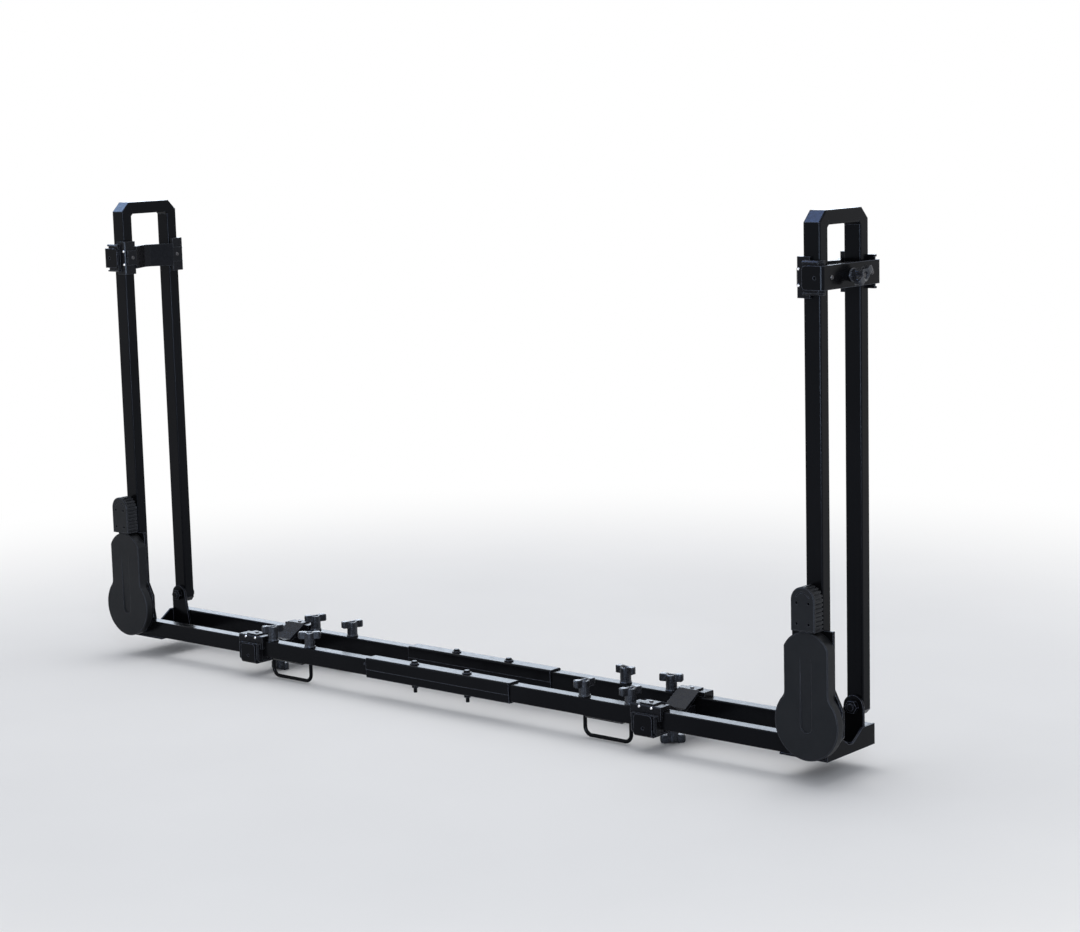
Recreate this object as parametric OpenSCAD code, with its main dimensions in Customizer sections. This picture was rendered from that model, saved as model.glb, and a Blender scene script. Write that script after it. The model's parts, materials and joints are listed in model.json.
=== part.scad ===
// Roof mounted bicycle carrier: a tray of two joined rails on crossbar clamps, a ratchet arm hinged
// at each end, and four sliding wheel brackets, two on the arms and two on the tray.
// X runs along the tray, Y across it with the ratchets on the -Y side, Z is up.
// The origin is the middle of the tray, on the plane where the crossbars meet the rail pads.

/* [Tray] */
// Distance between the pivots of the two arms
pivot_span = 1415; // [1400:1:1600]
// Width over the outside of the two rails
tray_w = 121; // [114:1:140]
// Height of the rail tube
rail_h = 27; // [24:0.5:30]
// Thickness of the rail tube, across the tray
rail_t = 21; // [18:0.5:23]
// Wall of the rail and arm tubes
tube_wall = 1.5; // [1.2:0.1:2]
// Outside corner radius of the tubes
tube_r = 2.2; // [2.1:0.1:3]
// Length of the sleeve that joins two rails
sleeve_l = 302; // [260:1:340]
// Wall of the sleeve
sleeve_wall = 2.5; // [2:0.1:3.5]
// Distance between the two bolts of a sleeve
sleeve_bolt_gap = 111; // [90:1:140]
// Diameter of a sleeve bolt
sleeve_bolt_d = 6; // [5:0.5:8]
// Thickness of the end bracket's plate
plate_t = 3; // [2:0.5:4]

/* [Crossbar clamps] */
// Distance between the two crossbars
bar_span = 668; // [600:1:690]
// Distance between the two legs of a U-bolt
ubolt_gap = 87; // [80:1:92]
// Diameter of the U-bolt rod
ubolt_d = 6; // [5:0.5:8]
// Room under the rail for a crossbar
bar_room = 28; // [22:1:40]
// Thickness of the rubber pad between a rail and a crossbar
pad_h = 2; // [1:0.5:4]
// Height of a wing knob
knob_h = 26; // [24:1:32]
// Span of the knob's wings
knob_span = 38; // [32:1:42]
// Diameter of the knob's stem
knob_d = 17; // [14:0.5:18]

/* [Arms] */
// Height of an arm from its pivot to the top of its handle
arm_h = 699; // [640:1:702]
// Width of the leg tube, along the tray
leg_w = 27; // [24:0.5:30]
// Height of the pivot above the rails
pivot_rise = 26.5; // [25:0.5:34]
// Flat cut across each top corner of the arm
corner_cut = 15.5; // [12:0.5:20]
// Diameter of the pivot bolt
pivot_d = 10; // [8:0.5:12]
// Wall of the pivot bush
bush_wall = 2; // [1.5:0.1:2.5]

/* [Ratchet] */
// Radius of the round lower end of the cover
cover_r = 52; // [48:0.5:56]
// Width of the cover's neck
cover_w = 72; // [64:1:78]
// Height of the cover above the pivot
cover_h = 129; // [122:1:140]
// Depth of the cover's neck
cover_depth = 17.7; // [16:0.1:20]
// Depth of the cover's round lower end
bulb_depth = 12; // [10:0.5:13]
// Wall of the cover
cover_wall = 3; // [2:0.5:3.5]
// Radius to the tips of the ratchet teeth
gear_r = 40; // [36:0.5:42]
// Depth of a ratchet tooth
tooth_depth = 6; // [4:0.5:8]
// Number of ratchet teeth
tooth_count = 32; // [20:1:40]
// Width of the release grip
grip_w = 38.6; // [34:0.2:42]
// Height of the release grip
grip_h = 62; // [56:1:70]
// Depth of the release grip
grip_depth = 21.5; // [19:0.5:24]
// Lift of the release grip
grip_lift = 10; // [6:1:12]

/* [Wheel brackets] */
// Distance of the front arm's bracket below the top of its handle
front_drop = 89; // [87:1:190]
// Distance of the rear arm's bracket below the top of its handle
rear_drop = 94; // [87:1:190]
// Distance of a tray bracket beyond its crossbar
past_bar = 82; // [81:1:106]
// Length of a slider, along its tube
slider_l = 56; // [52:1:60]
// Wall of a slider under the strap
slider_wall = 8.6; // [7:0.1:10]
// Wall of a slider on the wheel side of the tube
wheel_side = 7; // [6:0.1:9]
// Width of the steel strap
strap_w = 33; // [28:1:36]
// Thickness of the steel strap
strap_t = 3; // [2:0.1:3.5]
// Length of the strap's end tabs
tab_l = 33.5; // [28:0.5:35]
// Height of the wheel cradle
cradle_h = 38; // [34:1:42]
// Thickness of the wheel cradle's V
cradle_t = 7; // [5:0.5:8]
// Depth of the cradle's V
cradle_v = 20; // [16:1:22]
// Height of a bracket's wing knob
clamp_knob_h = 23; // [20:1:26]

/* [Hidden] */
$fn = 48;

// Clearances
slip = 0.2;
side_gap = 0.5;
run = 0.05;
loose = 0.4;
seat_gap = 0.3;

// Places of the tray
rail_z = pad_h;
rail_top = rail_z + rail_h;
rail_mid = rail_z + rail_h / 2;
rail_y = (tray_w - rail_t) / 2;
rail_in = tray_w / 2 - rail_t;
rail_gap = 10;
bar_x = bar_span / 2;
pivot_x = pivot_span / 2;
pivot_z = rail_top + pivot_rise;
end_reach = 19.5;
rail_end = pivot_x + end_reach - plate_t;

// Sleeves
sleeve_out = slip + sleeve_wall;
sleeve_t = rail_t + 2 * sleeve_out;
sleeve_h = rail_h + 2 * sleeve_out;
band_h = sleeve_h * 0.42;
band_cut = 0.8;
button_x = sleeve_l / 2 + 5;
button_d = 5;
button_h = 1.2;

// End brackets
ear_t = 4;
ear_out = rail_in;
ear_rim = 11;
ear_r = pivot_d / 2 + ear_rim;
ear_foot = 26;
base_in = 60;
dip_top = 30;
dip_low = 5;
dip_z = 10;

// U-bolts, pads and knobs
bend_r = 12;
ubolt_low = rail_z - bar_room - ubolt_d / 2;
wing_h = 11.5;
wing_t = 9.5;
wing_r = 3.5;
thumb_r = 16;
thumb_dip = 2;
collar_h = 2;
recess_d = ubolt_d + 4;
recess_h = 4;
flute_count = 12;
flute_d = 2;
pad_gap = 6;
pad_l = ubolt_gap - ubolt_d - 2 * pad_gap;

// Arms
leg_t = rail_t - 2 * side_gap;
leg_out = tray_w / 2 - side_gap;
leg_y = leg_out - leg_t / 2;
plug_h = 30;
foot_h = 13.5;
seam = 0.05;
bush_d = pivot_d + 2 * run + 2 * bush_wall;
nut_af = 1.7 * pivot_d;
nut_h = 0.7 * pivot_d;

// Ratchet, measured outwards from the rails' near face
base_gap = 0.5;
base_t = 4.5;
gear_t = 9;
near_face = -tray_w / 2;
base_back = near_face - base_gap;
base_front = base_back - base_t;
cover_front = base_front - cover_depth;
bulb_back = cover_front + bulb_depth;
gear_gap = 0.6;
gear_back = base_front - gear_gap;
gear_front = gear_back - gear_t;
rim_r = cover_r - cover_wall;
rim_t = 2.5;
rim_gap = 4;
arc_more = 4;
arc_r = cover_w / 2 + arc_more;
arc_z = cover_h - arc_r;
base_lip = 1;
base_inset = 2.5;
base_trim = 4;
base_top = cover_h + base_lip;
base_w = cover_w - 2 * base_inset;
base_side = cover_r - base_trim;
base_wide_top = 20;
base_wide_low = -16;
base_low = -46;
pad_low = 20;
edge_cut = 1.5;
flare_r = 14;
bolt_head_h = 4;
bolt_head_d = 1.8 * pivot_d;

// Release grip, pawl and spring
grip_gap = 1.5;
grip_set = 7;
grip_low = cover_h + grip_gap;
grip_back = base_back - grip_set;
grip_front = grip_back - grip_depth;
grip_round = grip_w / 2;
rib_pitch = 6;
rib_cut = 3;
rib_depth = 2.4;
rib_border = 3;
guide_w = 24;
tee_w = 17;
tee_neck = 9;
tee_t = 4;
tee_gap = 2;
tee_drop = 18;
tee_low = grip_low + grip_lift + tee_gap;
tee_high = grip_low + grip_h - tee_drop;
slot_l = tee_high - grip_low + tee_gap;
pawl_y = (cover_front + cover_wall + base_front) / 2;
pawl_w = 16;
pawl_t = 7;
pawl_l = 20;
pawl_low = gear_r + gear_gap;
pawl_head = pawl_low + pawl_l;
stem_w = 7;
stem_t = 5;
spring_r = 5.6;
wire_d = 1.4;
spring_turns = 9;
spring_low = pawl_head + seat_gap;
spring_pressed = 34;
spring_seat = pawl_head + grip_lift + spring_pressed;
spring_high = spring_seat - seat_gap;

// Wheel brackets, in a frame whose Z runs along the tube, with the wheel on the -X side
pocket_y = tray_w / 2 + loose;
slider_out = pocket_y + slider_wall;
slider_lap = 3;
slider_in = rail_in + slider_lap;
corner_out = pocket_y + slider_wall / 2;
slider_step = 9.5;
pad_l_outer = slider_l - slider_step;
flange_h = 3;
flange_cut = 6;
flange_r = 4;
rivet_in = 3.2;
rivet_d = 3;
rivet_head_d = 4.4;
rivet_head_h = 1.2;
tab_hole_d = 4.5;
strap_out = slider_out + strap_t;
cradle_grip = 2.2;
cradle_band = 25;
cradle_edge = 5;
cradle_gap = 0.6;
band_gap = 8;
block_gap = 6;
block_trim = 1.5;
screw_d = 4;
screw_head_d = 7;
screw_head_h = 1.6;
stud_d = 6;

// Colours of the finishes
steel_black = [0.09, 0.09, 0.1];
plastic_black = [0.13, 0.13, 0.14];
plastic_charcoal = [0.2, 0.2, 0.21];
rubber_black = [0.07, 0.07, 0.07];
zinc = [0.72, 0.73, 0.75];
bronze = [0.6, 0.48, 0.3];

// Outlines and placing

// A rectangle with round corners, centred
module round_rect(a, b, r) {
    square([a - 2 * r, b], center = true);
    square([a, b - 2 * r], center = true);
    for (x = [-1, 1], y = [-1, 1])
        translate([x * (a / 2 - r), y * (b / 2 - r)]) circle(r);
}

// A plate in the XZ plane, from y0 to y1
module plate_xz(y0, y1) {
    translate([0, y1, 0]) rotate([90, 0, 0]) linear_extrude(y1 - y0) children();
}

// A prism along X whose outline is drawn in the YZ plane
module along_x(x0, x1) {
    translate([x0, 0, 0]) rotate([90, 0, 90]) linear_extrude(x1 - x0) children();
}

// A cylinder along Y, from y0 to y1
module rod_y(y0, y1, d) {
    translate([0, y0, 0]) rotate([-90, 0, 0]) cylinder(h = y1 - y0, d = d);
}

// A cylinder along X, from x0 to x1
module rod_x(x0, x1, d) {
    translate([x0, 0, 0]) rotate([0, 90, 0]) cylinder(h = x1 - x0, d = d);
}

// The rear of the tray is the front turned round
module rear() {
    rotate([0, 0, 180]) children();
}

// The pivot of the front arm, where end is 1, or of the rear arm, where end is -1
module at_pivot(end) {
    translate([end * pivot_x, 0, pivot_z]) children();
}

// Tray

module front_rail(side) {
    color(steel_black)
    translate([0, side * rail_y, 0])
    difference() {
        translate([0, 0, rail_mid])
        along_x(rail_gap / 2, rail_end)
        difference() {
            round_rect(rail_t, rail_h, tube_r);
            round_rect(rail_t - 2 * tube_wall, rail_h - 2 * tube_wall, tube_r - tube_wall);
        }
        translate([sleeve_bolt_gap / 2, 0, rail_z - 1])
            cylinder(h = rail_h + 2, d = sleeve_bolt_d + 2 * slip);
        for (leg = [-1, 1])
            translate([bar_x + leg * ubolt_gap / 2, 0, rail_z - 1])
                cylinder(h = rail_h + 2, d = ubolt_d + 2 * slip);
    }
}

// The sleeve's lower half is a little narrower, which leaves a line along its sides
module sleeve(side) {
    color(steel_black)
    translate([0, side * rail_y, rail_mid])
    difference() {
        along_x(-sleeve_l / 2, sleeve_l / 2)
        difference() {
            round_rect(sleeve_t, sleeve_h, tube_r + 1);
            round_rect(rail_t + 2 * slip, rail_h + 2 * slip, tube_r);
            for (s = [-1, 1])
                translate([s * sleeve_t / 2, -sleeve_h / 2 + band_h / 2])
                    square([2 * band_cut, band_h], center = true);
        }
        for (x = [-1, 1])
            translate([x * sleeve_bolt_gap / 2, 0, -sleeve_h])
                cylinder(h = 2 * sleeve_h, d = sleeve_bolt_d + 2 * slip);
    }
}

// Flanged bolts through the sleeves, with their nuts below
module sleeve_bolts() {
    bolt_low = -sleeve_h / 2 - 2.2 * sleeve_bolt_d;
    flange_t = 0.3 * sleeve_bolt_d;
    color(steel_black)
    for (x = [-1, 1], side = [-1, 1])
        translate([x * sleeve_bolt_gap / 2, side * rail_y, rail_mid]) {
            translate([0, 0, bolt_low]) cylinder(h = sleeve_h / 2 - bolt_low, d = sleeve_bolt_d);
            translate([0, 0, sleeve_h / 2]) cylinder(h = flange_t, d = 2.5 * sleeve_bolt_d);
            translate([0, 0, sleeve_h / 2 + flange_t])
                cylinder(h = 0.6 * sleeve_bolt_d, d1 = 2 * sleeve_bolt_d, d2 = 1.3 * sleeve_bolt_d);
            translate([0, 0, -sleeve_h / 2 - 0.9 * sleeve_bolt_d])
            difference() {
                cylinder(h = 0.9 * sleeve_bolt_d, d = 1.9 * sleeve_bolt_d, $fn = 6);
                translate([0, 0, -1]) cylinder(h = 2 * sleeve_bolt_d, d = sleeve_bolt_d + 2 * run);
            }
        }
}

// Locating buttons on the outside of the rear rails, beside the sleeves
module rail_buttons() {
    color(steel_black)
    for (side = [-1, 1])
        translate([-button_x, side * tray_w / 2, rail_mid + rail_h / 5])
            rotate([-90 * side, 0, 0])
                cylinder(h = button_h, d1 = button_d, d2 = 0.7 * button_d);
}

// A plate under and across the rail ends, dipped in the middle for the tyre, with two pivot ears
module front_end_bracket() {
    color(steel_black) {
        translate([pivot_x - base_in, -tray_w / 2, rail_z - plate_t])
            cube([base_in + end_reach, tray_w, plate_t]);
        along_x(rail_end, rail_end + plate_t)
            polygon([
                [-tray_w / 2, rail_z], [tray_w / 2, rail_z], [tray_w / 2, rail_top],
                [dip_top, rail_top], [dip_low, rail_z + dip_z], [-dip_low, rail_z + dip_z],
                [-dip_top, rail_top], [-tray_w / 2, rail_top],
            ]);
        for (side = [-1, 1])
            translate([0, side * (ear_out - ear_t / 2), 0])
            difference() {
                union() {
                    plate_xz(-ear_t / 2, ear_t / 2)
                        polygon([
                            [pivot_x - ear_foot, rail_z], [rail_end, rail_z],
                            [rail_end, pivot_z], [pivot_x - ear_r, pivot_z],
                        ]);
                    at_pivot(1) rod_y(-ear_t / 2, ear_t / 2, 2 * ear_r);
                }
                at_pivot(1) rod_y(-ear_t, ear_t, pivot_d + 2 * run);
            }
    }
}

// U-bolts round a crossbar, one under each rail
module front_ubolts() {
    leg_top = rail_top + seat_gap + knob_h - recess_h + 1;
    bend_x = ubolt_gap / 2 - bend_r;
    color(steel_black)
    for (side = [-1, 1])
        translate([bar_x, side * rail_y, 0]) {
            translate([0, 0, ubolt_low]) rod_x(-bend_x, bend_x, ubolt_d);
            for (leg = [0, 180])
                rotate([0, 0, leg]) {
                    translate([bend_x, 0, ubolt_low + bend_r])
                        rotate([90, 0, 0]) rotate([0, 0, -90])
                            rotate_extrude(angle = 90) translate([bend_r, 0]) circle(d = ubolt_d);
                    translate([ubolt_gap / 2, 0, ubolt_low + bend_r])
                        cylinder(h = leg_top - ubolt_low - bend_r, d = ubolt_d);
                }
        }
}

// Rubber pads between the rails and the crossbars
module crossbar_pads() {
    color(rubber_black)
    for (end = [-1, 1], side = [-1, 1])
        translate([end * bar_x - pad_l / 2, side * rail_y - rail_t / 2, 0])
            cube([pad_l, rail_t, pad_h]);
}

// The side of a knob's wings: round at the ends, with a dip for the thumb
module wing_side(h) {
    difference() {
        translate([0, h - wing_h / 2]) round_rect(knob_span, wing_h, wing_r);
        translate([0, h + thumb_r - thumb_dip]) circle(thumb_r);
    }
}

// A two-winged knob standing on Z = 0, with a fluted stem and the rod's end in a recess
module wing_knob(h, bore) {
    color(plastic_black)
    difference() {
        union() {
            difference() {
                cylinder(h = h - wing_h + 1, d = knob_d);
                for (i = [0:flute_count - 1])
                    rotate([0, 0, i * 360 / flute_count])
                        translate([knob_d / 2 + flute_d / 4, 0, collar_h])
                            cylinder(h = h, d = flute_d);
            }
            cylinder(h = collar_h, d = knob_d + 2);
            intersection() {
                translate([0, 0, h - wing_h]) linear_extrude(wing_h) {
                    circle(d = knob_d);
                    square([knob_span - wing_t, wing_t], center = true);
                    for (s = [-1, 1]) translate([s * (knob_span - wing_t) / 2, 0]) circle(d = wing_t);
                }
                plate_xz(-knob_d, knob_d) wing_side(h);
            }
        }
        translate([0, 0, -1]) cylinder(h = h + 2, d = bore + 2 * run);
        translate([0, 0, h - recess_h]) cylinder(h = h, d = recess_d);
    }
}

// The knobs stand at the turn in which they were last tightened
knob_turns = [75, 70, -5, 20, 65, 40, 60, 65];
front_arm_turn = -55;
rear_arm_turn = 40;
front_tray_turn = -40;
rear_tray_turn = 0;

module ubolt_knob(i) {
    end = i < 4 ? 1 : -1;
    side = i % 4 < 2 ? -1 : 1;
    leg = i % 2 == 0 ? -1 : 1;
    translate([end * bar_x + leg * ubolt_gap / 2, side * rail_y, rail_top + seat_gap])
        rotate([0, 0, knob_turns[i]]) wing_knob(knob_h, ubolt_d);
}

// Arms

// A tube along Z, centred on its length
module tube(w, t, l) {
    linear_extrude(l, center = true) difference() {
        round_rect(w, t, tube_r);
        round_rect(w - 2 * tube_wall, t - 2 * tube_wall, tube_r - tube_wall);
    }
}

// One tube of the arm, cut to its mitres by an outline in the YZ plane
module mitred(outline) {
    intersection() {
        children();
        along_x(-leg_w, leg_w) polygon(outline);
    }
}

// The arm is an upside-down U of mitred tubes: two legs, two slanted corners and the handle's bar
module arm_frame(end) {
    a = leg_out;
    h = arm_h;
    c = corner_cut;
    m = sqrt(2) - 1;
    k = leg_t * m;
    mid = leg_t / (2 * sqrt(2)) + c / 2;
    color(steel_black)
    at_pivot(end) {
        for (s = [-1, 1]) {
            intersection() {
                difference() {
                    translate([0, s * leg_y, -foot_h]) linear_extrude(h + foot_h) round_rect(leg_w, leg_t, tube_r);
                    translate([0, s * leg_y, plug_h]) linear_extrude(h)
                        round_rect(leg_w - 2 * tube_wall, leg_t - 2 * tube_wall, tube_r - tube_wall);
                    translate([0, s * leg_y, 0]) rod_y(-leg_t, leg_t, bush_d + 2 * run);
                }
                along_x(-leg_w, leg_w)
                    polygon([[s * (a + 1), -foot_h - 1], [s * (a + 1), h - c - seam + m],
                             [s * (a - leg_t - 1), h - c - k - seam - m], [s * (a - leg_t - 1), -foot_h - 1]]);
                plate_xz(-tray_w, tray_w)
                    polygon([[-leg_w, h], [leg_w, h], [leg_w / 2 + 1, 2 - foot_h / 2], [leg_w / 4, -foot_h],
                             [-leg_w / 4, -foot_h], [-leg_w / 2 - 1, 2 - foot_h / 2]]);
            }
            mitred([[s * (a + 1), h - c + m], [s * (a - c + m), h + 1],
                    [s * (a - c - k - m), h - leg_t - 1], [s * (a - leg_t - 1), h - c - k - m]])
                translate([0, s * (a - mid), h - mid]) rotate([s * 45, 0, 0]) tube(leg_w, leg_t, 4 * (c + leg_t));
        }
        mitred([[c - a - m + seam, h + 1], [a - c + m - seam, h + 1],
                [a - c - k - m - seam, h - leg_t - 1], [c + k - a + m + seam, h - leg_t - 1]])
            translate([0, 0, h - leg_t / 2]) rotate([90, 0, 0]) tube(leg_w, leg_t, 2 * a);
    }
}

module pivot_bushes(end) {
    color(bronze)
    at_pivot(end)
    for (s = [-1, 1])
        translate([0, s * leg_y, 0])
        difference() {
            rod_y(-leg_t / 2, leg_t / 2, bush_d);
            rod_y(-leg_t, leg_t, pivot_d + 2 * run);
        }
}

// One bolt through each leg: the near one runs on through the ratchet gear
module pivot_bolts(end) {
    ear_in = ear_out - ear_t;
    bolt_in = ear_in - nut_h - 2;
    far_head = tray_w / 2;
    color(steel_black)
    at_pivot(end) {
        rod_y(gear_front, -bolt_in, pivot_d);
        translate([0, gear_front, 0]) key_block(gear_t, 0);
        rod_y(gear_front - bolt_head_h, gear_front, bolt_head_d);
        rod_y(bolt_in, far_head, pivot_d);
        rod_y(far_head, far_head + bolt_head_h, bolt_head_d);
        for (s = [-1, 1])
            translate([0, s * (ear_in - nut_h / 2), 0])
            difference() {
                rotate([90, 0, 0]) cylinder(h = nut_h, d = nut_af * 2 / sqrt(3), center = true, $fn = 6);
                rod_y(-nut_h, nut_h, pivot_d + 2 * run);
            }
    }
}

// Ratchet

function turned(r, a) = [r * sin(a), r * cos(a)];

// A saw-toothed wheel keyed to the fixed pivot bolt, inside the cover
module ratchet_gear(end) {
    step = 360 / tooth_count;
    teeth = [for (i = [0:tooth_count - 1], p = [0, 1])
        turned(p == 0 ? gear_r : gear_r - tooth_depth, end * (i * step + p * step * 0.12))];
    color(steel_black)
    at_pivot(end)
    difference() {
        plate_xz(gear_front, gear_back) polygon(teeth);
        rod_y(gear_front - 1, gear_back + 1, pivot_d + 2 * run);
        translate([0, gear_front - 1, 0]) key_block(gear_t + 2, run);
    }
}

// The key between the bolt and the gear
module key_block(l, margin) {
    key_w = 3;
    translate([-key_w / 2 - margin, 0, 0]) cube([key_w + 2 * margin, l, pivot_d / 2 + 1.5 + margin]);
}

// The keyhole outline of the cover, taken in by a margin
module keyhole(margin) {
    half = cover_w / 2 - margin;
    bulb = cover_r - margin;
    flare = flare_r + margin;
    flare_x = half + flare;
    flare_z = sqrt((bulb + flare) * (bulb + flare) - flare_x * flare_x);
    circle(bulb);
    intersection() {
        translate([-half, 0]) square([2 * half, cover_h]);
        union() {
            translate([0, arc_z]) circle(arc_r - margin);
            translate([-half, 0]) square([2 * half, arc_z]);
        }
    }
    difference() {
        polygon([[-half, flare_z], [half, flare_z], [flare_x * bulb / (bulb + flare), flare_z * bulb / (bulb + flare)],
                 [0, 0], [-flare_x * bulb / (bulb + flare), flare_z * bulb / (bulb + flare)]]);
        for (s = [-1, 1]) translate([s * flare_x, flare_z]) circle(flare);
    }
}

// The cover's hollow shell, with a scooped slot in its face and a hole in its top for the pawl
module ratchet_cover(end) {
    deck_y = cover_front + cover_wall;
    neck_low = rim_r * 0.6;
    color(plastic_charcoal)
    at_pivot(end)
    difference() {
        union() {
            plate_xz(cover_front, cover_front + edge_cut) keyhole(edge_cut);
            plate_xz(cover_front + edge_cut / 2, bulb_back) keyhole(0);
            plate_xz(bulb_back - edge_cut, base_front) difference() {
                intersection() {
                    keyhole(0);
                    translate([-cover_w / 2, neck_low]) square([cover_w, cover_h]);
                }
                circle(rim_r + loose);
            }
        }
        difference() {
            union() {
                plate_xz(deck_y, bulb_back + 1) keyhole(cover_wall);
                plate_xz(deck_y, base_front + 1) intersection() {
                    keyhole(cover_wall);
                    translate([cover_wall - cover_w / 2, neck_low - 1]) square([cover_w - 2 * cover_wall, cover_h]);
                }
            }
            translate([-cover_w / 2, deck_y, spring_seat])
                cube([cover_w, base_front - deck_y, cover_wall]);
        }
        translate([0, pawl_y, cover_h / 2 + spring_seat / 2])
            cube([stem_w + 2 * loose, stem_t + 2 * loose, cover_h], center = true);
        scoop();
    }
}

// A thumb scoop that runs down the cover's face and deepens towards the pivot
module scoop() {
    scoop_w = 18;
    scoop_low = -4;
    scoop_l = 100;
    scoop_deep = 1.8;
    translate([0, cover_front - 1, scoop_low])
        rotate([atan(scoop_deep / scoop_l), 0, 0])
            plate_xz(-5, 1 + scoop_deep) {
                circle(d = scoop_w);
                translate([-scoop_w / 2, 0]) square([scoop_w, scoop_l]);
            }
}

// The plate that carries the cover on the leg, a rim round the gear, and the release grip's guide
module cover_base(end) {
    guide_low = cover_h + seat_gap;
    color(steel_black)
    at_pivot(end)
    difference() {
        union() {
            plate_xz(base_front, base_back)
                polygon([
                    [-base_w / 2, base_top], [base_w / 2, base_top], [base_w / 2, rim_r],
                    [base_side, base_wide_top], [base_side, base_wide_low], [base_side / 2, base_low],
                    [-base_side / 2, base_low], [-base_side, base_wide_low], [-base_side, base_wide_top],
                    [-base_w / 2, rim_r],
                ]);
            plate_xz(bulb_back + seat_gap, base_front) difference() {
                circle(rim_r);
                circle(rim_r - rim_t);
                translate([-pawl_w / 2 - rim_gap, 0]) square([pawl_w + 2 * rim_gap, cover_r]);
            }
            translate([-leg_w / 2 + tube_r, base_back, pad_low])
                cube([leg_w - 2 * tube_r, base_gap + side_gap, tee_high - pad_low]);
            translate([-guide_w / 2, grip_back + seat_gap, guide_low])
                cube([guide_w, base_back - grip_back - seat_gap, tee_high - guide_low]);
            translate([-tee_neck / 2, grip_back - tee_t, tee_low])
                cube([tee_neck, tee_t + seat_gap, tee_high - tee_low]);
            translate([-tee_w / 2, grip_back - 2 * tee_t, tee_low])
                cube([tee_w, tee_t, tee_high - tee_low]);
        }
        rod_y(base_front - 1, base_back + 1, pivot_d + 2 * loose);
    }
}

// The grip's outline, seen along Y
module grip_outline(margin) {
    translate([0, grip_low + grip_h - grip_round]) circle(grip_round - margin);
    translate([margin - grip_w / 2, grip_low + margin])
        square([grip_w - 2 * margin, grip_h - grip_round - margin]);
}

// The ribbed release grip, which slides on the guide's T-shaped rail
module release_grip(end) {
    arc_at = grip_low + grip_h - grip_round;
    rib_rows = floor((arc_at - grip_low) / rib_pitch);
    arc_rows = round(PI * grip_round / rib_pitch);
    color(plastic_charcoal)
    at_pivot(end)
    difference() {
        union() {
            plate_xz(grip_front, grip_front + edge_cut) grip_outline(edge_cut);
            plate_xz(grip_front + edge_cut / 2, grip_back) grip_outline(0);
        }
        for (s = [-1, 1], i = [0:rib_rows - 1])
            translate([s * grip_w / 2, (grip_front + rib_border + grip_back) / 2, grip_low + (i + 0.5) * rib_pitch])
                cube([2 * rib_depth, grip_depth - rib_border + 0.01, rib_cut], center = true);
        translate([0, 0, arc_at])
        for (i = [0:arc_rows - 1])
            rotate([0, (i + 0.5) * 180 / arc_rows - 90, 0])
                translate([0, (grip_front + rib_border + grip_back) / 2, grip_round])
                    cube([rib_cut, grip_depth - rib_border + 0.01, 2 * rib_depth], center = true);
        translate([0, 0, arc_at]) intersection() {
            difference() {
                rod_y(grip_front - 1, grip_front + 1, 1.3 * grip_round);
                rod_y(grip_front - 2, grip_front + 2, 1.1 * grip_round);
            }
            translate([-grip_w, grip_front - 2, grip_round * 0.25]) cube([2 * grip_w, 4, grip_w]);
        }
        for (s = [-1, 1], z = [0.17, 0.64])
            translate([s * grip_w / 4, 0, grip_low + z * grip_h]) rod_y(grip_front - 1, grip_front + 5, 4);
        translate([-tee_neck / 2 - seat_gap, grip_back - tee_t - 1, grip_low - 1])
            cube([tee_neck + 2 * seat_gap, tee_t + 2, slot_l + 1]);
        translate([-tee_w / 2 - seat_gap, grip_back - 2 * tee_t - seat_gap, grip_low - 1])
            cube([tee_w + 2 * seat_gap, tee_t + 2 * seat_gap, slot_l + 1]);
    }
}

// The pawl hangs from the grip and stands just clear of the ratchet teeth
module pawl(end) {
    tip_w = 3;
    color(zinc)
    at_pivot(end)
    translate([0, pawl_y, 0]) {
        plate_xz(-pawl_t / 2, pawl_t / 2)
            polygon([[-tip_w / 2, pawl_low], [tip_w / 2, pawl_low], [pawl_w / 2, pawl_low + 8],
                     [pawl_w / 2, pawl_head], [-pawl_w / 2, pawl_head], [-pawl_w / 2, pawl_low + 8]]);
        translate([-stem_w / 2, -stem_t / 2, pawl_head - 1])
            cube([stem_w, stem_t, grip_low - pawl_head + 1]);
    }
}

// A round wire wound into a spring, as one closed tube
module pawl_spring(end) {
    sides = 6;
    turn_rings = 8;
    rings = turn_rings * spring_turns;
    rise = spring_high - spring_low - wire_d;
    pts = [for (i = [0:rings], j = [0:sides - 1])
        let (turn = 360 * i / turn_rings, a = 360 * j / sides, r = spring_r + wire_d / 2 * cos(a))
        [r * cos(turn), r * sin(turn), spring_low + wire_d / 2 + rise * i / rings + wire_d / 2 * sin(a)]];
    walls = [for (i = [0:rings - 1], j = [0:sides - 1])
        let (a = i * sides + j, b = i * sides + (j + 1) % sides)
        each [[a, b, b + sides], [a, b + sides, a + sides]]];
    caps = [for (j = [1:sides - 2]) each [[0, j + 1, j], [rings * sides, rings * sides + j, rings * sides + j + 1]]];
    echo(least_spring_gap = min([for (i = [0:rings - turn_rings], j = [0:sides - 1], k = [0:sides - 1])
        norm(pts[i * sides + j] - pts[(i + turn_rings) * sides + k])]));
    color(zinc)
    at_pivot(end) translate([0, pawl_y, 0]) polyhedron(points = pts, faces = concat(walls, caps));
}

// Wheel brackets

// Places a bracket drawn about its tube on the front arm, below its top, or on the front of the tray
module on_arm(drop) {
    translate([pivot_x, 0, pivot_z + arm_h - drop]) children();
}

module on_tray() {
    translate([bar_x + past_bar, 0, rail_mid]) rotate([0, 90, 0]) children();
}

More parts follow.
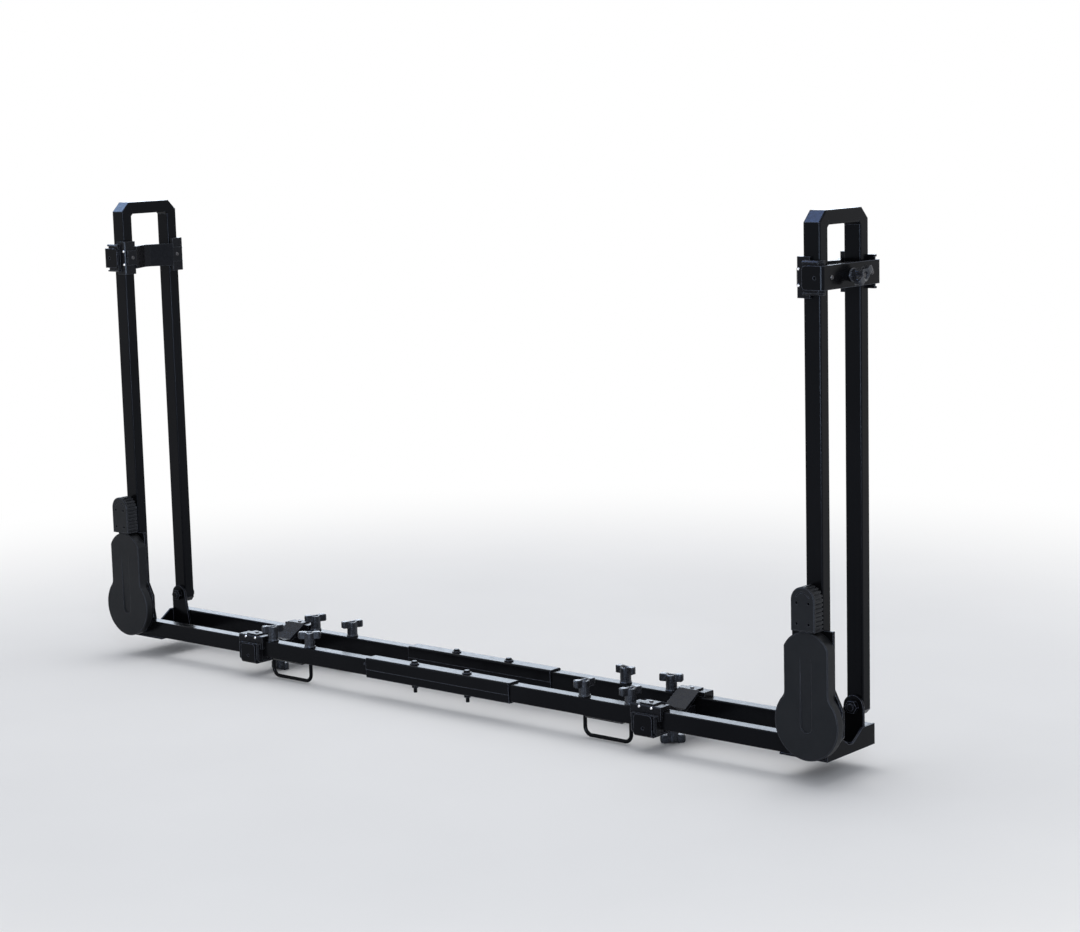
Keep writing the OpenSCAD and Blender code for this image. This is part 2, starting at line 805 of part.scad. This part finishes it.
// The slider's long wall on the wheel side of the tube, with a corner that turns outside it
module wheel_wall(w) {
    x0 = -w / 2 - loose - wheel_side;
    cut = 1.5;
    difference() {
        polygon([[x0, -slider_in], [x0, cut - corner_out], [x0 + cut, -corner_out], [0, -corner_out],
                 [0, -pocket_y + 1], [0, -slider_in]]);
        translate([-w / 2 - loose, -pocket_y]) square([w, tray_w]);
    }
}

// The slider's outer wall under the strap's tab
module tab_wall(w, margin) {
    x1 = w / 2 + loose + slider_wall;
    x0 = x1 + strap_t - tab_l;
    polygon([[x0, -pocket_y], [x0, -slider_out - margin], [x1 - flange_cut, -slider_out - margin],
             [x1, flange_cut - slider_out - margin], [x1, -pocket_y]]);
}

// Two channels that slide on the tubes, with flanges above and below the strap
module bracket_sliders(w) {
    x_strap = w / 2 + loose + slider_wall;
    x_wheel = -w / 2 - loose - wheel_side;
    color(plastic_black)
    for (s = [0, 1])
        mirror([0, s, 0])
        difference() {
            union() {
                linear_extrude(slider_l, center = true) wheel_wall(w);
                linear_extrude(pad_l_outer, center = true) tab_wall(w, 0);
                intersection() {
                    for (z = [-1, 1])
                        translate([0, 0, z * (pad_l_outer - flange_h) / 2])
                            linear_extrude(flange_h, center = true) tab_wall(w, strap_t);
                    rotate([90, 0, 90]) linear_extrude(2 * tray_w, center = true)
                        round_rect(2 * strap_out, pad_l_outer, flange_r);
                }
                translate([w / 2 + loose, slider_wall / 2 - slider_out, 1 - strap_w / 2])
                    cube([slider_wall, slider_out - slider_wall / 2 - slider_in, strap_w - 2]);
            }
            translate([0, -rail_y, 0]) rod_x(x_strap - 6, x_strap + 5, screw_d + 2 * run);
            translate([0, -rail_y, 0]) rod_x(x_wheel - 5, x_wheel + 5, screw_d + 2 * run);
            for (z = [-1, 1])
                translate([x_wheel + rivet_in, 0, z * slider_l / 5])
                    rod_y(-corner_out - 1, -corner_out + 2, rivet_d + 2 * run);
        }
}

// The plan of the strap: a broad U with round corners, taken in by a margin
module strap_plan(w, margin) {
    x1 = w / 2 + loose + slider_wall + strap_t - margin;
    x0 = w / 2 + loose + slider_wall + strap_t - tab_l - 2 * margin;
    half = strap_out - margin;
    r = 5 - margin;
    translate([x0, -half]) square([x1 - x0 - r, 2 * half]);
    translate([x0, r - half]) square([x1 - x0, 2 * (half - r)]);
    for (s = [-1, 1]) translate([x1 - r, s * (half - r)]) circle(r);
}

module bracket_strap(w) {
    x1 = w / 2 + loose + slider_wall + strap_t;
    tab_r = 6;
    color(steel_black)
    difference() {
        intersection() {
            linear_extrude(strap_w, center = true) difference() {
                strap_plan(w, 0);
                strap_plan(w, strap_t);
            }
            plate_xz(-tray_w, tray_w) translate([x1, 0]) round_rect(2 * tab_l, strap_w, tab_r);
        }
        translate([x1 - 0.4 * tab_l, 0, 0]) rod_y(-tray_w, tray_w, tab_hole_d);
        for (s = [-1, 1]) translate([0, s * rail_y, 0]) rod_x(x1 - 2 * strap_t, x1 + 1, screw_d + 2 * run);
        rod_x(x1 - 2 * strap_t, x1 + 1, stud_d + 2 * slip);
    }
}

// The V-shaped cradle that meets the tyre: a band screwed to each slider and a block behind the V
module bracket_cradle(w) {
    x_wheel = -w / 2 - loose - wheel_side;
    x_front = x_wheel - cradle_grip;
    x_back = w / 2 + loose + slider_wall - seat_gap;
    x_low = x_front + cradle_v;
    v_end = slider_in - cradle_gap;
    v_low = 6;
    block_w = 2 * (slider_in - block_gap);
    band_w = slider_out - v_end - band_gap;
    color(plastic_black)
    difference() {
        union() {
            linear_extrude(cradle_h, center = true)
                polygon([[x_front, -v_end], [x_front + cradle_edge, -v_end], [x_low + cradle_t, -v_low],
                         [x_low + cradle_t, v_low], [x_front + cradle_edge, v_end], [x_front, v_end],
                         [x_low, v_low], [x_low, -v_low]]);
            for (s = [-1, 1])
                translate([x_front, s * (v_end + slider_out - band_gap) / 2 - band_w / 2, -cradle_band / 2])
                    cube([cradle_grip, band_w, cradle_band]);
            translate([x_low + 1, -block_w / 2, block_trim - strap_w / 2])
                cube([x_back - x_low - 1, block_w, strap_w - 2 * block_trim]);
        }
        for (s = [-1, 1]) {
            translate([0, s * rail_y, 0]) rod_x(x_front - 1, x_wheel + 1, screw_d + 2 * run);
        }
        rod_x(x_low + cradle_t / 2, x_back + 1, stud_d + 2 * run);
    }
}

// Screws of the strap and the cradle, bright rivets at the slider's corner, and the clamp's stud
module bracket_screws(w) {
    x_strap = w / 2 + loose + slider_wall + strap_t;
    x_wheel = -w / 2 - loose - wheel_side;
    x_front = x_wheel - cradle_grip;
    x_low = x_front + cradle_v;
    color(zinc) {
        for (s = [-1, 1]) {
            translate([0, s * rail_y, 0]) {
                rod_x(x_strap - strap_t - 5, x_strap, screw_d);
                translate([x_strap, 0, 0]) rotate([0, 90, 0])
                    cylinder(h = screw_head_h, d1 = screw_head_d, d2 = 0.7 * screw_head_d);
                rod_x(x_front, x_wheel + 4, screw_d);
                translate([x_front, 0, 0]) rotate([0, -90, 0])
                    cylinder(h = screw_head_h, d1 = screw_head_d, d2 = 0.7 * screw_head_d);
            }
            for (z = [-1, 1])
                translate([x_wheel + rivet_in, s * corner_out, z * slider_l / 5]) {
                    rod_y(s < 0 ? 0 : -rivet_d / 2, s < 0 ? rivet_d / 2 : 0, rivet_d);
                    rotate([-90 * s, 0, 0]) cylinder(h = rivet_head_h, d1 = rivet_head_d, d2 = 0.7 * rivet_head_d);
                }
        }
        rod_x(x_low + cradle_t / 2, x_strap + seat_gap + clamp_knob_h - recess_h + 1, stud_d);
    }
}

module bracket_knob(w, turn) {
    x_strap = w / 2 + loose + slider_wall + strap_t;
    translate([x_strap + seat_gap, 0, 0]) rotate([0, 90, 0]) rotate([0, 0, turn]) wing_knob(clamp_knob_h, stud_d);
}

front_rail(-1);  // near_front_rail
front_rail(1);  // far_front_rail
rear() front_rail(1);  // near_rear_rail
rear() front_rail(-1);  // far_rear_rail
sleeve(-1);  // near_sleeve
sleeve(1);  // far_sleeve
sleeve_bolts();
rail_buttons();
front_end_bracket();
rear() front_end_bracket();  // rear_end_bracket
front_ubolts();
rear() front_ubolts();  // rear_ubolts
crossbar_pads();
ratchet_gear(1);  // front_ratchet_gear
ratchet_gear(-1);  // rear_ratchet_gear
pivot_bolts(1);  // front_pivot_bolts
pivot_bolts(-1);  // rear_pivot_bolts
ubolt_knob(0);  // ubolt_knob_1
ubolt_knob(1);  // ubolt_knob_2
ubolt_knob(2);  // ubolt_knob_3
ubolt_knob(3);  // ubolt_knob_4
ubolt_knob(4);  // ubolt_knob_5
ubolt_knob(5);  // ubolt_knob_6
ubolt_knob(6);  // ubolt_knob_7
ubolt_knob(7);  // ubolt_knob_8
arm_frame(1);  // front_arm_frame
arm_frame(-1);  // rear_arm_frame
pivot_bushes(1);  // front_pivot_bushes
pivot_bushes(-1);  // rear_pivot_bushes
cover_base(1);  // front_cover_base
cover_base(-1);  // rear_cover_base
ratchet_cover(1);  // front_ratchet_cover
ratchet_cover(-1);  // rear_ratchet_cover
release_grip(1);  // front_release_grip
release_grip(-1);  // rear_release_grip
pawl(1);  // front_pawl
pawl(-1);  // rear_pawl
pawl_spring(1);  // front_pawl_spring
pawl_spring(-1);  // rear_pawl_spring
on_arm(front_drop) bracket_sliders(leg_w);  // front_arm_sliders
on_arm(front_drop) bracket_strap(leg_w);  // front_arm_strap
on_arm(front_drop) bracket_cradle(leg_w);  // front_arm_cradle
on_arm(front_drop) bracket_screws(leg_w);  // front_arm_screws
on_arm(front_drop) bracket_knob(leg_w, front_arm_turn);  // front_arm_knob
rear() on_arm(rear_drop) bracket_sliders(leg_w);  // rear_arm_sliders
rear() on_arm(rear_drop) bracket_strap(leg_w);  // rear_arm_strap
rear() on_arm(rear_drop) bracket_cradle(leg_w);  // rear_arm_cradle
rear() on_arm(rear_drop) bracket_screws(leg_w);  // rear_arm_screws
rear() on_arm(rear_drop) bracket_knob(leg_w, rear_arm_turn);  // rear_arm_knob
on_tray() bracket_sliders(rail_h);  // front_tray_sliders
on_tray() bracket_strap(rail_h);  // front_tray_strap
on_tray() bracket_cradle(rail_h);  // front_tray_cradle
on_tray() bracket_screws(rail_h);  // front_tray_screws
on_tray() bracket_knob(rail_h, front_tray_turn);  // front_tray_knob
rear() on_tray() bracket_sliders(rail_h);  // rear_tray_sliders
rear() on_tray() bracket_strap(rail_h);  // rear_tray_strap
rear() on_tray() bracket_cradle(rail_h);  // rear_tray_cradle
rear() on_tray() bracket_screws(rail_h);  // rear_tray_screws
rear() on_tray() bracket_knob(rail_h, rear_tray_turn);  // rear_tray_knob
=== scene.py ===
"""Finishes, floor, camera and light for the carrier, in metres in the part's own frame."""
import json
import math

import bpy
from mathutils import Matrix, Vector

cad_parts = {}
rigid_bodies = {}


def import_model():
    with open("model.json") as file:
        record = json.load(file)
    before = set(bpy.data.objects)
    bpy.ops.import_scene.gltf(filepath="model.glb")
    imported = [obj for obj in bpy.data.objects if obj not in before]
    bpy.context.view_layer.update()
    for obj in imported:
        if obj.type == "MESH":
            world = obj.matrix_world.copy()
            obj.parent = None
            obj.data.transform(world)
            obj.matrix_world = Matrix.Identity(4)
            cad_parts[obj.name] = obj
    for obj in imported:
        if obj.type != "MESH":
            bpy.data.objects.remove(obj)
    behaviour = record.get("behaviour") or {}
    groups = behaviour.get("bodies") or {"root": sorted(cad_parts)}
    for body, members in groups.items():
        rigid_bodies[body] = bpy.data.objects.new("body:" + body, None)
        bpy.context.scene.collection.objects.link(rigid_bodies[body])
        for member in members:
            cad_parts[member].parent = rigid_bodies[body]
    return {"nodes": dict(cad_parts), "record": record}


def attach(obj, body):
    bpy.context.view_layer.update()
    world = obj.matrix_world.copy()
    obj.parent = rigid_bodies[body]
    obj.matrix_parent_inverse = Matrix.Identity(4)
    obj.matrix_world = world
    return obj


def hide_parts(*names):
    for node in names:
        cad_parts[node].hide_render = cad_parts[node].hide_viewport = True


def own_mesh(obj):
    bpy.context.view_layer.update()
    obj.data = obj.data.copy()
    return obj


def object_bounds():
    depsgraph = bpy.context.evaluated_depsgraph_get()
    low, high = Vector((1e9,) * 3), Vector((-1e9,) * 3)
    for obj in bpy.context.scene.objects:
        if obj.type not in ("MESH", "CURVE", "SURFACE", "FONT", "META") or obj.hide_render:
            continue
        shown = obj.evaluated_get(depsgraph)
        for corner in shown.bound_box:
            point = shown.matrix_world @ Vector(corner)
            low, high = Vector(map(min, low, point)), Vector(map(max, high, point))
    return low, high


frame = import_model()
cad_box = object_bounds()

# Values that the finishes share, such as the range that noise mostly stays in and where the painted edge
# highlight starts

NOISE_LOW, NOISE_HIGH = 0.3, 0.7
TONE_DETAIL, ROUGH_DETAIL, GRAIN_DETAIL = 3.0, 2.0, 2.0
SKY_TINT = (0.72, 0.82, 1.0, 1.0)
EDGE_SAMPLES = 4
# Where the painted edge highlight starts and where it is full, by how far the rounded normal leaves the
# face's own
EDGE_HIGHLIGHT_START, EDGE_HIGHLIGHT_FULL = 0.98, 0.8


# Shader helpers

def new_material(name):
    mat = bpy.data.materials.new(name)
    mat.use_nodes = True
    return mat


def tree(mat):
    """The material's nodes, its links and its main shader."""
    nodes = mat.node_tree.nodes
    return nodes, mat.node_tree.links, nodes["Principled BSDF"]


def object_space(nodes):
    return nodes.new("ShaderNodeTexCoord").outputs["Object"]


def noise(nodes, links, vector, scale, detail):
    node = nodes.new("ShaderNodeTexNoise")
    node.inputs["Scale"].default_value = scale
    node.inputs["Detail"].default_value = detail
    links.new(vector, node.inputs["Vector"])
    return node.outputs["Fac"]


def ramp(nodes, links, fac, dark, light, low=NOISE_LOW, high=NOISE_HIGH):
    """Colours between dark, where fac is low, and light, where it is high."""
    node = nodes.new("ShaderNodeValToRGB")
    for element, place, colour in zip(node.color_ramp.elements, (low, high), (dark, light)):
        element.position = place
        element.color = (*colour, 1.0)
    links.new(fac, node.inputs["Fac"])
    return node.outputs["Color"]


def spread(nodes, links, fac, low, high):
    """Numbers between low and high that follow a noise."""
    node = nodes.new("ShaderNodeMapRange")
    node.inputs["From Min"].default_value = NOISE_LOW
    node.inputs["From Max"].default_value = NOISE_HIGH
    node.inputs["To Min"].default_value = low
    node.inputs["To Max"].default_value = high
    links.new(fac, node.inputs["Value"])
    return node.outputs["Result"]


def math_node(nodes, links, operation, first, second=None):
    node = nodes.new("ShaderNodeMath")
    node.operation = operation
    links.new(first, node.inputs[0])
    if second is not None:
        links.new(second, node.inputs[1])
    return node


def drifting(name, dark, light, tone_scale, rough, rough_scale,
             tone_detail=TONE_DETAIL, rough_detail=ROUGH_DETAIL):
    """A material whose colour and roughness drift over the surface, each within its own range."""
    mat = new_material(name)
    nodes, links, shader = tree(mat)
    space = object_space(nodes)
    tone = noise(nodes, links, space, tone_scale, tone_detail)
    links.new(ramp(nodes, links, tone, dark, light), shader.inputs["Base Color"])
    sheen = noise(nodes, links, space, rough_scale, rough_detail)
    links.new(spread(nodes, links, sheen, *rough), shader.inputs["Roughness"])
    return mat


def make_metal(mat):
    shader = tree(mat)[2]
    shader.inputs["Metallic"].default_value = 1.0


def set_gloss(mat, level):
    """How strongly a coat or a plastic mirrors its surroundings, with the sky's tint."""
    shader = tree(mat)[2]
    shader.inputs["Specular IOR Level"].default_value = level
    shader.inputs["Specular Tint"].default_value = SKY_TINT


def add_grain(mat, edge, scale, depth, strength):
    """Rounds the look of the edges by the radius edge, adds a fine grain, and returns the rounded normal."""
    nodes, links, shader = tree(mat)
    soft_edge = nodes.new("ShaderNodeBevel")
    soft_edge.samples = EDGE_SAMPLES
    soft_edge.inputs["Radius"].default_value = edge
    rounded = soft_edge.outputs["Normal"]
    grain = nodes.new("ShaderNodeBump")
    grain.inputs["Strength"].default_value = strength
    grain.inputs["Distance"].default_value = depth
    height = noise(nodes, links, object_space(nodes), scale, GRAIN_DETAIL)
    links.new(height, grain.inputs["Height"])
    links.new(rounded, grain.inputs["Normal"])
    links.new(grain.outputs["Normal"], shader.inputs["Normal"])
    return rounded


def second_colour(mat, share):
    """Returns the socket of a second colour, which takes over the base colour by the given share."""
    nodes, links, shader = tree(mat)
    first = shader.inputs["Base Color"].links[0].from_socket
    blend = nodes.new("ShaderNodeMix")
    blend.data_type = "RGBA"
    links.new(share, blend.inputs["Factor"])
    links.new(first, blend.inputs["A"])
    links.new(blend.outputs["Result"], shader.inputs["Base Color"])
    return blend.inputs["B"]


def paint_edge_highlights(mat, rounded, colour):
    """Paints a pale highlight along the edges, where the rounded normal leaves the face's own, in place of
    reflected light on rounded edges.
    """
    nodes, links, _ = tree(mat)
    along = nodes.new("ShaderNodeVectorMath")
    along.operation = "DOT_PRODUCT"
    links.new(rounded, along.inputs[0])
    links.new(nodes.new("ShaderNodeNewGeometry").outputs["Normal"], along.inputs[1])
    # Share of the painted highlight, which grows as the rounded normal turns away from the face's own
    painted_highlight_share = nodes.new("ShaderNodeMapRange")
    painted_highlight_share.inputs["From Min"].default_value = EDGE_HIGHLIGHT_START
    painted_highlight_share.inputs["From Max"].default_value = EDGE_HIGHLIGHT_FULL
    links.new(along.outputs["Value"], painted_highlight_share.inputs["Value"])
    second_colour(mat, painted_highlight_share.outputs["Result"]).default_value = (*colour, 1.0)


# Materials

STEEL_BLACK = (0.0036, 0.0037, 0.0044), (0.0054, 0.0055, 0.0066)
# Pale bluish colour painted on the steel's edges as a highlight, in place of the sky's reflection
STEEL_EDGE_HIGHLIGHT = (0.15, 0.165, 0.21)
ZINC = (0.62, 0.63, 0.66), (0.78, 0.78, 0.78)
SCREW_DARK = (0.05, 0.05, 0.055), (0.08, 0.08, 0.085)
RIVET_BRIGHT = (0.78, 0.79, 0.82), (0.9, 0.9, 0.92)
RIVET_REACH = 0.056
BRONZE = (0.36, 0.22, 0.09), (0.5, 0.33, 0.15)
RUBBER = (0.012, 0.012, 0.012), (0.022, 0.022, 0.022)
METAL_TONE_SCALE, METAL_ROUGH_SCALE = 180.0, 420.0
METAL_GRAIN = {"edge": 0.0003, "scale": 1600.0, "depth": 0.00002, "strength": 0.4}

# Each plastic's two base colours and the colour of the highlight painted on its edges

CHARCOAL = (0.008, 0.0084, 0.0092), (0.012, 0.0124, 0.0132), (0.075, 0.08, 0.095)
SLIDER_BLACK = (0.005, 0.005, 0.006), (0.008, 0.008, 0.0095), (0.13, 0.143, 0.17)
KNOB_GREY = (0.009, 0.0092, 0.0106), (0.013, 0.0132, 0.0152), (0.05, 0.054, 0.066)
PLASTIC_TONE_SCALE, PLASTIC_ROUGH_SCALE = 24.0, 210.0
PLASTIC_ROUGH_DRIFT = 0.06


def powder_coat():
    mat = drifting("black_powder_coat", *STEEL_BLACK, tone_scale=9.0, rough=(0.16, 0.24), rough_scale=140.0,
                   tone_detail=4.0, rough_detail=3.0)
    set_gloss(mat, level=0.07)
    rounded = add_grain(mat, edge=0.0016, scale=850.0, depth=0.00005, strength=0.35)
    # Painted highlight along the steel's edges
    paint_edge_highlights(mat, rounded, STEEL_EDGE_HIGHLIGHT)
    return mat


def moulded(name, dark, light, pale, gloss, rough, edge, grain_scale):
    rough_range = rough - PLASTIC_ROUGH_DRIFT, rough + PLASTIC_ROUGH_DRIFT
    mat = drifting(name, dark, light, PLASTIC_TONE_SCALE, rough_range, PLASTIC_ROUGH_SCALE, rough_detail=3.0)
    set_gloss(mat, gloss)
    rounded = add_grain(mat, edge, grain_scale, depth=0.00007, strength=0.6)
    # Painted highlight along the plastic's edges
    paint_edge_highlights(mat, rounded, pale)
    return mat


def plated():
    mat = drifting("bright_zinc", *ZINC, METAL_TONE_SCALE, (0.2, 0.34), METAL_ROUGH_SCALE)
    make_metal(mat)
    add_grain(mat, **METAL_GRAIN)
    return mat


def screw_metal():
    """Dark screws on the strap, and bright rivets further from the middle plane than RIVET_REACH."""
    mat = drifting("screws_and_rivets", *SCREW_DARK, METAL_TONE_SCALE, (0.22, 0.34), METAL_ROUGH_SCALE)
    make_metal(mat)
    add_grain(mat, **METAL_GRAIN)
    nodes, links, _ = tree(mat)
    space = object_space(nodes)
    place = nodes.new("ShaderNodeSeparateXYZ")
    links.new(space, place.inputs["Vector"])
    reach = math_node(nodes, links, "ABSOLUTE", place.outputs["Y"])
    is_rivet = math_node(nodes, links, "GREATER_THAN", reach.outputs["Value"])
    is_rivet.inputs[1].default_value = RIVET_REACH
    speckle = noise(nodes, links, space, METAL_TONE_SCALE, TONE_DETAIL)
    rivet_colour = ramp(nodes, links, speckle, *RIVET_BRIGHT)
    links.new(rivet_colour, second_colour(mat, is_rivet.outputs["Value"]))
    return mat


def bronze():
    mat = drifting("plain_bronze", *BRONZE, tone_scale=160.0, rough=(0.34, 0.5), rough_scale=300.0)
    make_metal(mat)
    return mat


def rubber():
    mat = drifting("pad_rubber", *RUBBER, tone_scale=60.0, rough=(0.7, 0.85), rough_scale=260.0,
                   tone_detail=4.0)
    add_grain(mat, edge=0.0008, scale=1100.0, depth=0.0001, strength=0.6)
    return mat


finishes = {
    "black_steel": powder_coat(),
    "zinc_steel": plated(),
    "bronze": bronze(),
    "charcoal_plastic": moulded(
        "charcoal_plastic", *CHARCOAL, gloss=0.16, rough=0.42, edge=0.0012, grain_scale=1500.0),
    "black_plastic": moulded(
        "black_plastic", *SLIDER_BLACK, gloss=0.12, rough=0.28, edge=0.0012, grain_scale=1300.0),
    "rubber": rubber(),
}
screw_finish = screw_metal()
knob_finish = moulded("knob_plastic", *KNOB_GREY, gloss=0.5, rough=0.26, edge=0.0025, grain_scale=1300.0)

for part in frame["record"]["subparts"]:
    node = frame["nodes"][part["node"]]
    finish = finishes[part["material_slot"]]
    if part["node"].endswith("_screws"):
        finish = screw_finish
    elif "_knob" in part["node"]:
        finish = knob_finish
    for material_slot in node.material_slots:
        material_slot.material = finish

# Pawl springs, copied from their coil parts onto the body that holds each release, with the coil parts
# hidden

joints = {joint["name"]: joint for joint in frame["record"]["behaviour"]["joints"]}
for end in ("front", "rear"):
    coil_name = end + "_pawl_spring"
    coil = frame["nodes"][coil_name]
    release = joints[end + "_release_slide"]
    spring = bpy.data.objects.new(end + "_coil_spring", coil.data.copy())
    bpy.context.collection.objects.link(spring)
    spring.matrix_world = coil.matrix_world
    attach(spring, release["parent"])
    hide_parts(coil_name)
    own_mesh(spring)


# Floor, whose far parts are as white as the background behind it

def seen_directly(nodes, links):
    """1 for what the camera, a reflection or glass sees, and 0 for light that falls on the object."""
    path = nodes.new("ShaderNodeLightPath")
    total = path.outputs["Is Camera Ray"]
    for ray in ("Is Glossy Ray", "Is Transmission Ray"):
        total = math_node(nodes, links, "MAXIMUM", total, path.outputs[ray]).outputs["Value"]
    return total


def pale_floor(fade_start, fade_end):
    """A matt pale floor that turns white between the two distances from its middle."""
    mat = new_material("pale_floor")
    nodes, links, shader = tree(mat)
    space = object_space(nodes)
    cloud = noise(nodes, links, space, scale=3.0, detail=2.0)
    colour = ramp(nodes, links, cloud, (0.84, 0.845, 0.85), (0.87, 0.875, 0.88), low=0.2, high=0.8)
    links.new(colour, shader.inputs["Base Color"])
    shader.inputs["Roughness"].default_value = 0.9
    shader.inputs["Specular IOR Level"].default_value = 0.0
    distance = nodes.new("ShaderNodeVectorMath")
    distance.operation = "LENGTH"
    links.new(space, distance.inputs[0])
    fade = nodes.new("ShaderNodeMapRange")
    fade.interpolation_type = "SMOOTHSTEP"
    fade.inputs["From Min"].default_value = fade_start
    fade.inputs["From Max"].default_value = fade_end
    links.new(distance.outputs["Value"], fade.inputs["Value"])
    share = math_node(nodes, links, "MULTIPLY", fade.outputs["Result"], seen_directly(nodes, links))
    white = nodes.new("ShaderNodeEmission")
    mix = nodes.new("ShaderNodeMixShader")
    links.new(share.outputs["Value"], mix.inputs["Fac"])
    links.new(shader.outputs["BSDF"], mix.inputs[1])
    links.new(white.outputs["Emission"], mix.inputs[2])
    links.new(mix.outputs["Shader"], nodes["Material Output"].inputs["Surface"])
    return mat


FLOOR_SIZE, FLOOR_GAP = 14.0, 0.0005
FADE_START, FADE_END = 0.8, 2.2
bpy.ops.mesh.primitive_plane_add(size=FLOOR_SIZE, location=(0.0, 0.0, cad_box[0][2] - FLOOR_GAP))
floor = bpy.context.object
floor.name = "floor"
floor.data.materials.append(pale_floor(FADE_START, FADE_END))

# Camera at the photograph's place

EYE = Vector((2.49583, -2.75075, 0.90822))
YAW, PITCH, ROLL = 0.7013, -0.1510, -0.0258
FOCAL_PIXELS, IMAGE_WIDTH, SENSOR = 2399.2, 1080.0, 36.0
forward = Vector((-math.sin(YAW) * math.cos(PITCH), math.cos(YAW) * math.cos(PITCH), math.sin(PITCH)))
level = Vector((math.cos(YAW), math.sin(YAW), 0.0))
upright = level.cross(forward)
right = math.cos(ROLL) * level + math.sin(ROLL) * upright
up = -math.sin(ROLL) * level + math.cos(ROLL) * upright
camera_data = bpy.data.cameras.new("camera")
camera_data.sensor_fit = "HORIZONTAL"
camera_data.sensor_width = SENSOR
camera_data.lens = FOCAL_PIXELS / IMAGE_WIDTH * SENSOR
camera = bpy.data.objects.new("camera", camera_data)
bpy.context.collection.objects.link(camera)
turn = Matrix((right, up, -forward)).transposed()
camera.matrix_world = Matrix.Translation(EYE) @ turn.to_4x4()
bpy.context.scene.camera = camera


# Light

def area_light(name, place, target, size, power, colour, only_mirrored=False):
    """A soft lamp, or a card that only shows in reflections."""
    data = bpy.data.lights.new(name, "AREA")
    data.shape = "RECTANGLE"
    data.size, data.size_y = size
    data.energy = power
    data.color = colour
    lamp = bpy.data.objects.new(name, data)
    bpy.context.collection.objects.link(lamp)
    lamp.location = place
    aim = Vector(target) - Vector(place)
    lamp.rotation_euler = aim.to_track_quat("-Z", "Y").to_euler()
    lamp.visible_diffuse = not only_mirrored
    lamp.visible_camera = False


FRONT_ARM_TOP, REAR_ARM_TOP = (0.73, 0.0, 0.76), (-0.73, 0.0, 0.76)
area_light("sky_panel", (-0.6, 0.8, 4.2), (0.0, 0.0, 0.2), (4.5, 3.5), 80.0, (1.0, 0.99, 0.98))
area_light("eye_panel", (3.3, -3.0, 2.3), (0.0, 0.0, 0.3), (1.0, 1.0), 24.0, (0.84, 0.91, 1.0))

# Cards: blue sky for the cut corners of each arm, and pale ones for the rails' tops and the legs' edges

area_light("front_panel", (-1.31, -0.64, 3.91), FRONT_ARM_TOP, (0.9, 0.9), 55.0, (0.28, 0.47, 1.0), True)
area_light("rear_panel", (-3.95, -0.23, 3.45), REAR_ARM_TOP, (0.9, 0.9), 40.0, (0.42, 0.62, 1.0), True)
area_light("back_panel", (-3.4, 3.7, 1.35), (0.0, 0.0, 0.0), (3.6, 1.2), 50.0, (0.72, 0.84, 1.0), True)
area_light("edge_panel", (1.17, -2.23, 0.4), (0.0, 0.0, 0.4), (1.2, 0.65), 60.0, (0.8, 0.88, 1.0), True)

# Soft light from all around, in front of a white background

SOFT_COLOUR, SOFT_STRENGTH = (0.93, 0.95, 1.0, 1.0), 0.55
WHITE = (1.0, 1.0, 1.0, 1.0)
world = bpy.data.worlds.new("studio")
bpy.context.scene.world = world
world.use_nodes = True
world_nodes, world_links = world.node_tree.nodes, world.node_tree.links
soft_light = world_nodes["Background"]
soft_light.inputs["Color"].default_value = SOFT_COLOUR
soft_light.inputs["Strength"].default_value = SOFT_STRENGTH
backdrop = world_nodes.new("ShaderNodeBackground")
backdrop.inputs["Color"].default_value = WHITE
world_mix = world_nodes.new("ShaderNodeMixShader")
world_links.new(seen_directly(world_nodes, world_links), world_mix.inputs["Fac"])
world_links.new(soft_light.outputs["Background"], world_mix.inputs[1])
world_links.new(backdrop.outputs["Background"], world_mix.inputs[2])
world_links.new(world_mix.outputs["Shader"], world_nodes["World Output"].inputs["Surface"])

bpy.context.scene.view_settings.view_transform = "Standard"
